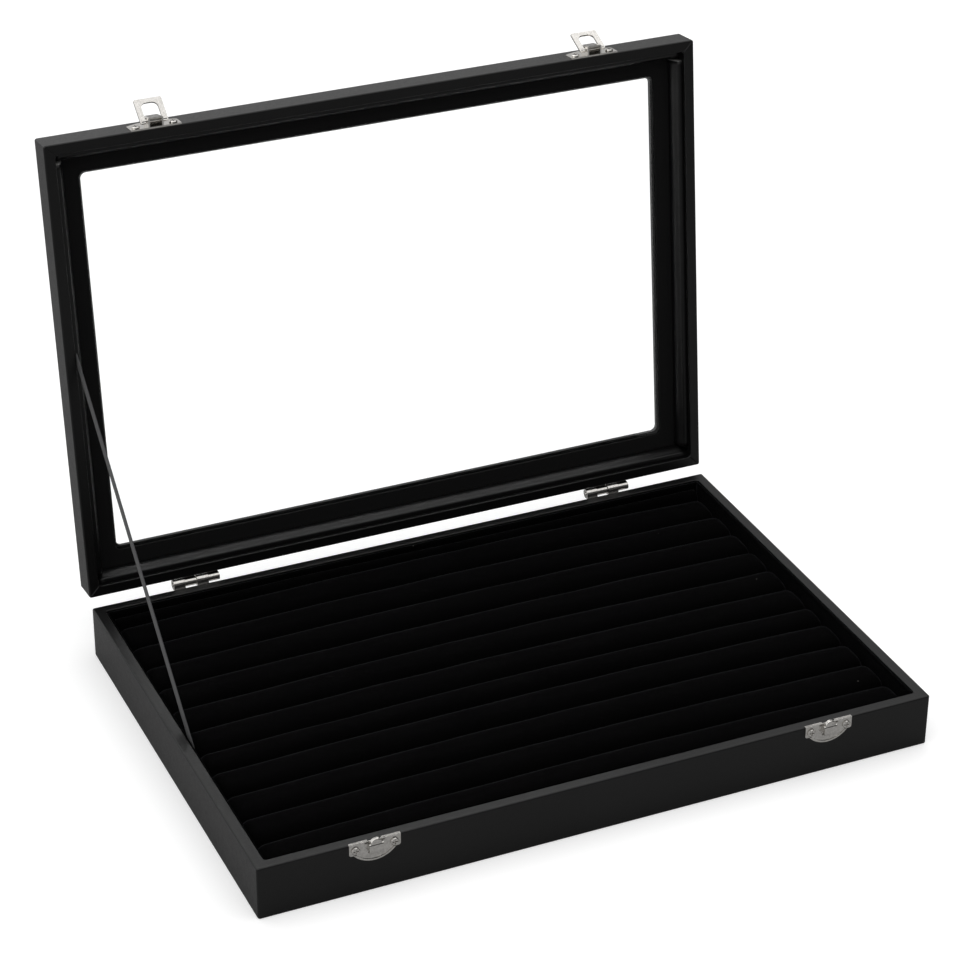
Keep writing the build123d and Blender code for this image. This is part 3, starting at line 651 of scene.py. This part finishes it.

# %% [markdown]
# ## Floor, world and lamps
# The photograph has a white ground. The floor is a pale matt sheet that also glows a little for
# the camera alone, so that it reads white and still keeps the box's shadow. The world is
# white to the camera and through the glass, and a soft grey as a light. Reflections see a
# room that is white on the left and behind the box and dim in front on the right. They also see
# a floor painted at half its brightness. That is painted shade, standing in for the box's shadow
# on the floor beside it, and it also gives bright metal its dark lines.

# %% Floor
sheet = bpy.data.meshes.new("floor")
sheet.from_pydata([(-6, -6, 0), (6, -6, 0), (6, 6, 0), (-6, 6, 0)], [], [(0, 1, 2, 3)])
ground = bpy.data.objects.new("floor", sheet)
bpy.context.scene.collection.objects.link(ground)
pale, tree, surface, place = material("pale_floor")
faint = noise(tree, place, 3.0)
paper_tone_and_painted_shade = ramp(tree, faint, (0.3, (0.80, 0.80, 0.80)), (0.7, (0.83, 0.83, 0.83)))
rays = add(tree, "ShaderNodeLightPath")
gloss, through = rays.outputs["Is Glossy Ray"], rays.outputs["Is Transmission Ray"]
mirrored = add(tree, "ShaderNodeMath", {0: gloss, 1: through}, operation="SUBTRACT").outputs["Value"]
# painted shade: for reflections only, the floor's colour drops to 0.38, standing in for the box's shadow on the floor
# beside it
painted_shade_in_reflections = {"Factor": mirrored, "A": paper_tone_and_painted_shade, "B": (0.38, 0.38, 0.38, 1.0)}
paper_tone_and_painted_shade = add(tree, "ShaderNodeMix", painted_shade_in_reflections, data_type="RGBA")
tree.links.new(paper_tone_and_painted_shade.outputs["Result"], surface.inputs["Base Color"])
surface.inputs["Roughness"].default_value = 0.9
surface.inputs["Specular IOR Level"].default_value = 0.0
seen = add(tree, "ShaderNodeMath", {0: rays.outputs["Is Camera Ray"], 1: through}, operation="MAXIMUM")
glow = add(tree, "ShaderNodeMath", {0: seen.outputs["Value"], 1: 0.35}, operation="MULTIPLY").outputs["Value"]
surface.inputs["Emission Color"].default_value = (1, 1, 1, 1)
tree.links.new(glow, surface.inputs["Emission Strength"])
sheet.materials.append(pale)

# %% World
world = bpy.data.worlds.new("studio")
bpy.context.scene.world = world
world.use_nodes = True
tree = world.node_tree
rays = add(tree, "ShaderNodeLightPath")
towards = add(tree, "ShaderNodeTexCoord").outputs["Generated"]
back_left = (-0.8, 0.6, 0.0)
leftness = add(tree, "ShaderNodeVectorMath", {0: towards, 1: back_left}, operation="DOT_PRODUCT").outputs["Value"]
room = spread(tree, leftness, -0.5, 0.8, 0.08, 1.0)
mirrored = add(tree, "ShaderNodeMath", {0: rays.outputs["Is Glossy Ray"], 1: room}, operation="MULTIPLY")
lighting = add(tree, "ShaderNodeMath", {0: rays.outputs["Is Diffuse Ray"], 1: 0.4}, operation="MULTIPLY")
strength = rays.outputs["Is Camera Ray"]
for other in (mirrored.outputs["Value"], lighting.outputs["Value"], rays.outputs["Is Transmission Ray"]):
    strength = add(tree, "ShaderNodeMath", {0: strength, 1: other}, operation="MAXIMUM").outputs["Value"]
tree.links.new(strength, tree.nodes["Background"].inputs["Strength"])
tree.nodes["Background"].inputs["Color"].default_value = (1, 1, 1, 1)


# %% Lamps
def soft_lamp(name, position, target, size, power):
    """Square area lamp that looks from its position to its target."""
    data = bpy.data.lights.new(name, "AREA")
    data.shape, data.size, data.energy = "SQUARE", size, power
    lamp = bpy.data.objects.new(name, data)
    back = np.array(position, dtype=float) - np.array(target, dtype=float)
    back /= np.linalg.norm(back)
    side = np.cross([0.0, 1.0, 0.05], back)
    side /= np.linalg.norm(side)
    pose = np.eye(4)
    pose[:3, 0], pose[:3, 1], pose[:3, 2], pose[:3, 3] = side, np.cross(back, side), back, position
    lamp.matrix_world = Matrix(pose.tolist())
    bpy.context.scene.collection.objects.link(lamp)


soft_lamp("overhead", (0.1, 0.0, 2.2), (0, 0, 0), 4.2, 58)
soft_lamp("left", (-2.1, -0.7, 1.1), (0, 0, 0.1), 1.4, 6)
